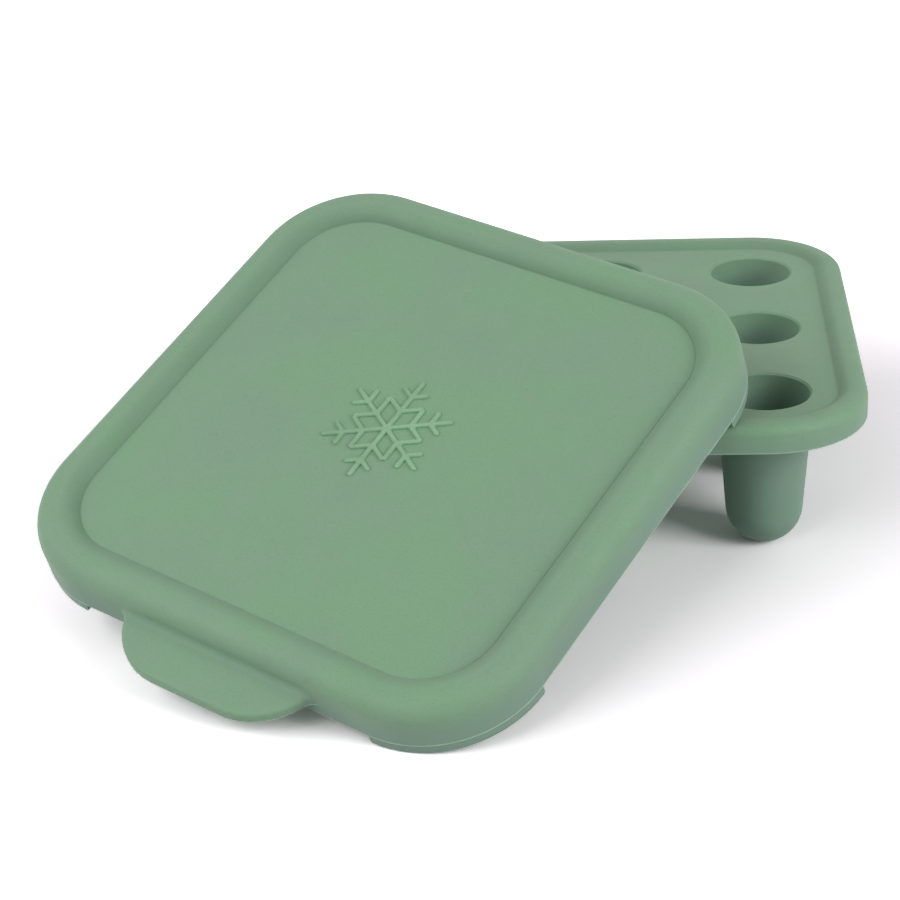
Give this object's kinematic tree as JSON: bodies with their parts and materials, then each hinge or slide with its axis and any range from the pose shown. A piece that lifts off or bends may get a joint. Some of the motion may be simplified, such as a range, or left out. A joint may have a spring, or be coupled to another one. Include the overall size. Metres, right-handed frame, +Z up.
{
  "type": "ice cube tray",
  "caption": "Square silicone freezer tray with round tapered wells and a push-on lid with a pull tab. The lid is off and leans on the tray.",
  "frame": {"origin": "on the floor, at the middle of the flat foot of the centre well", "axes": "+Z up, +X along the tray's front side to its right, +Y from the tray's front to its back"},
  "size_m": [0.2108, 0.2237, 0.0808],
  "materials": {
    "tray_silicone": "matte sage green silicone",
    "lid_silicone": "matte sage green silicone"
  },
  "bodies": {
    "tray": {"tray": "tray_silicone"},
    "lid": {"lid": "lid_silicone"}
  },
  "joints": [
    {"name": "lid_lift", "type": "slide", "parent": "tray", "child": "lid", "axis": [0, 0, 1], "range_m": [0, 0.12]}
  ]
}
